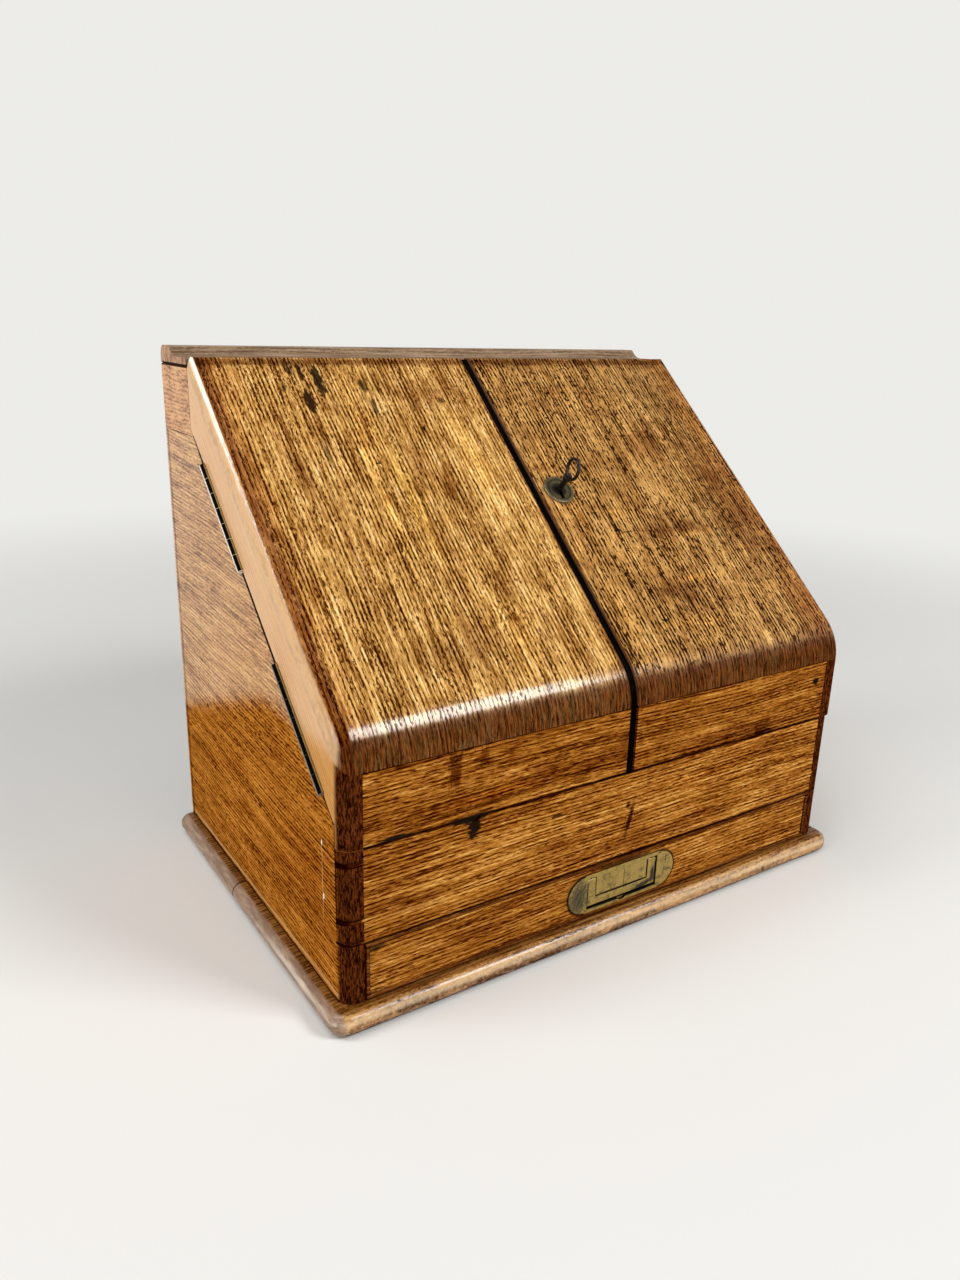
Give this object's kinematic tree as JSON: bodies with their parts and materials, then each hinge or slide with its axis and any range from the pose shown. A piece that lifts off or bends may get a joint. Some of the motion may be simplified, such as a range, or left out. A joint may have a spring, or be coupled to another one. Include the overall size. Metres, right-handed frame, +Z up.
{
  "type": "desk letter box",
  "caption": "Sloping-front oak letter box for a desk, with hinged doors over a stepped letter rack, a lock and key, and a shallow drawer below.",
  "frame": {"origin": "middle of the underside of the base", "axes": "+X to the right of the person who faces the drawer, +Y towards the back, +Z up"},
  "size_m": [0.398, 0.264, 0.345],
  "materials": {
    "oak": "golden brown quarter-grained oak, old French polish",
    "oak_moulding": "worn paler oak edge moulding, waxed",
    "oak_inside": "plain unpolished oak, slightly darkened",
    "oak_back": "dull stained oak",
    "dark_bead": "dark red-brown bead, polished",
    "ebonised_wood": "black stained hardwood",
    "hinge_brass": "dulled brass butt hinges",
    "patinated_brass": "olive, patinated brass",
    "lock_brass": "plain aged brass",
    "dark_iron": "dark worn iron"
  },
  "bodies": {
    "case": {"base_board_front": "oak_moulding", "base_board_rear": "oak_moulding", "base_screws": "dark_iron", "side_panel_left": "oak", "side_panel_right": "oak", "back_panel": "oak_back", "back_panel_nails": "dark_iron", "top_rail": "oak", "top_cap": "oak", "front_rail": "oak", "dust_board": "oak_inside", "drawer_stops": "oak_inside", "rack_partition_rear": "oak_inside", "rack_partition_middle": "oak_inside", "rack_partition_front": "oak_inside", "tray_divider": "oak_inside", "hinge_case_leaf_left_upper": "hinge_brass", "hinge_case_leaf_left_lower": "hinge_brass", "hinge_case_leaf_right_upper": "hinge_brass", "hinge_case_leaf_right_lower": "hinge_brass", "hinge_pin_left_upper": "hinge_brass", "hinge_pin_left_lower": "hinge_brass", "hinge_pin_right_upper": "hinge_brass", "hinge_pin_right_lower": "hinge_brass", "hinge_screws_case": "hinge_brass"},
    "door_left": {"door_board_left": "oak", "door_front_left": "oak", "door_cheek_left": "oak", "meeting_slip": "ebonised_wood", "strike_plate": "lock_brass", "hinge_door_leaf_left_upper": "hinge_brass", "hinge_door_leaf_left_lower": "hinge_brass", "hinge_screws_left_door": "hinge_brass"},
    "door_right": {"door_board_right": "oak", "door_front_right": "oak", "door_cheek_right": "oak", "hinge_door_leaf_right_upper": "hinge_brass", "hinge_door_leaf_right_lower": "hinge_brass", "hinge_screws_right_door": "hinge_brass", "lock_case": "lock_brass", "lock_screws": "lock_brass", "escutcheon": "patinated_brass"},
    "lock_bolt": {"lock_bolt": "lock_brass"},
    "key": {"key": "dark_iron"},
    "drawer": {"drawer_front": "oak", "drawer_side_left": "oak_inside", "drawer_side_right": "oak_inside", "drawer_back": "oak_inside", "drawer_bottom": "oak_inside", "cock_bead_top": "dark_bead", "cock_bead_bottom": "dark_bead", "cock_bead_left": "dark_bead", "cock_bead_right": "dark_bead", "pull_plate": "patinated_brass", "pull_pins": "patinated_brass"},
    "pull_bail": {"pull_bail": "patinated_brass"}
  },
  "joints": [
    {"name": "door_left_hinge", "type": "hinge", "parent": "case", "child": "door_left", "pos_m": [-0.1906, 0.02924, 0.25204], "axis": [0, -0.7406, -0.672], "range_deg": [0, 175]},
    {"name": "door_right_hinge", "type": "hinge", "parent": "case", "child": "door_right", "pos_m": [0.1906, 0.02924, 0.25204], "axis": [0, 0.7406, 0.672], "range_deg": [0, 175]},
    {"name": "drawer_slide", "type": "slide", "parent": "case", "child": "drawer", "axis": [0, -1, 0], "range_m": [0, 0.19]},
    {"name": "pull_swing", "type": "hinge", "parent": "drawer", "child": "pull_bail", "pos_m": [0.0035, -0.121, 0.03845], "axis": [-1, 0, 0], "range_deg": [0, 100]},
    {"name": "key_turn", "type": "hinge", "parent": "door_right", "child": "key", "pos_m": [0.0212, -0.01451, 0.26032], "axis": [0, -0.6626, 0.749], "range_deg": [0, 180]},
    {"name": "bolt_throw", "type": "slide", "parent": "door_right", "child": "lock_bolt", "axis": [-1, 0, 0], "range_m": [0, 0.006]}
  ],
  "couplings": [
    {"joint": "key_turn", "follows": "bolt_throw", "rad_per_m": 523.5}
  ]
}
